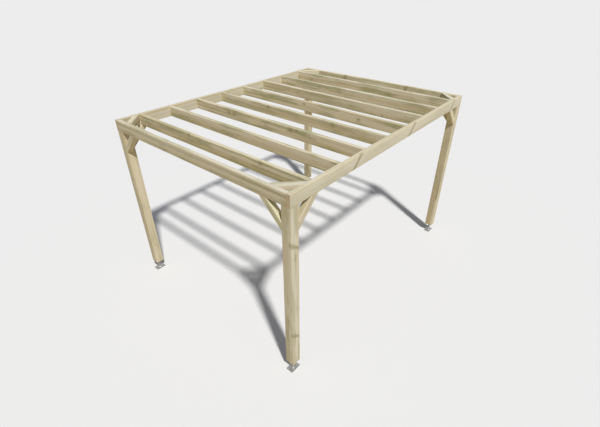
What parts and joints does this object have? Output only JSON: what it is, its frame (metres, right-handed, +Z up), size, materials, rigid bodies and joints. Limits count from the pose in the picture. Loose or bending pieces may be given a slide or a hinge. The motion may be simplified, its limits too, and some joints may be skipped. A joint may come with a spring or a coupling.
{
  "type": "wooden garden pergola",
  "caption": "Free-standing rectangular timber pergola: square posts on steel shoes carry a joisted flat frame with knee braces and corner braces; open on every side.",
  "frame": {"origin": "on the ground in the middle of the plan, below the middle of the roof", "axes": "+X across the front to the right, +Y along the side beams from front to back, +Z up"},
  "size_m": [3, 3.94, 2.46],
  "materials": {
    "post_timber": "planed, pressure-treated softwood with a pale greenish tint",
    "beam_timber": "planed, pressure-treated softwood with a pale greenish tint",
    "joist_timber": "planed, pressure-treated softwood with a pale greenish tint",
    "brace_timber": "planed, pressure-treated softwood with a pale greenish tint",
    "galvanised_steel": "hot-dip galvanised, dull zinc grey"
  },
  "bodies": {
    "root": {"shoe_front_left": "galvanised_steel", "shoe_front_right": "galvanised_steel", "shoe_back_left": "galvanised_steel", "shoe_back_right": "galvanised_steel", "post_front_left": "post_timber", "post_front_right": "post_timber", "post_back_left": "post_timber", "post_back_right": "post_timber", "beam_left": "beam_timber", "beam_right": "beam_timber", "beam_front": "beam_timber", "beam_back": "beam_timber", "joist_1": "joist_timber", "joist_2": "joist_timber", "joist_3": "joist_timber", "joist_4": "joist_timber", "joist_5": "joist_timber", "joist_6": "joist_timber", "joist_7": "joist_timber", "joist_8": "joist_timber", "knee_brace_front_left_cross": "brace_timber", "knee_brace_front_left_side": "brace_timber", "knee_brace_front_right_cross": "brace_timber", "knee_brace_front_right_side": "brace_timber", "knee_brace_back_left_cross": "brace_timber", "knee_brace_back_left_side": "brace_timber", "knee_brace_back_right_cross": "brace_timber", "knee_brace_back_right_side": "brace_timber", "corner_brace_front_left": "brace_timber", "corner_brace_front_right": "brace_timber", "corner_brace_back_left": "brace_timber", "corner_brace_back_right": "brace_timber"}
  },
  "joints": []
}
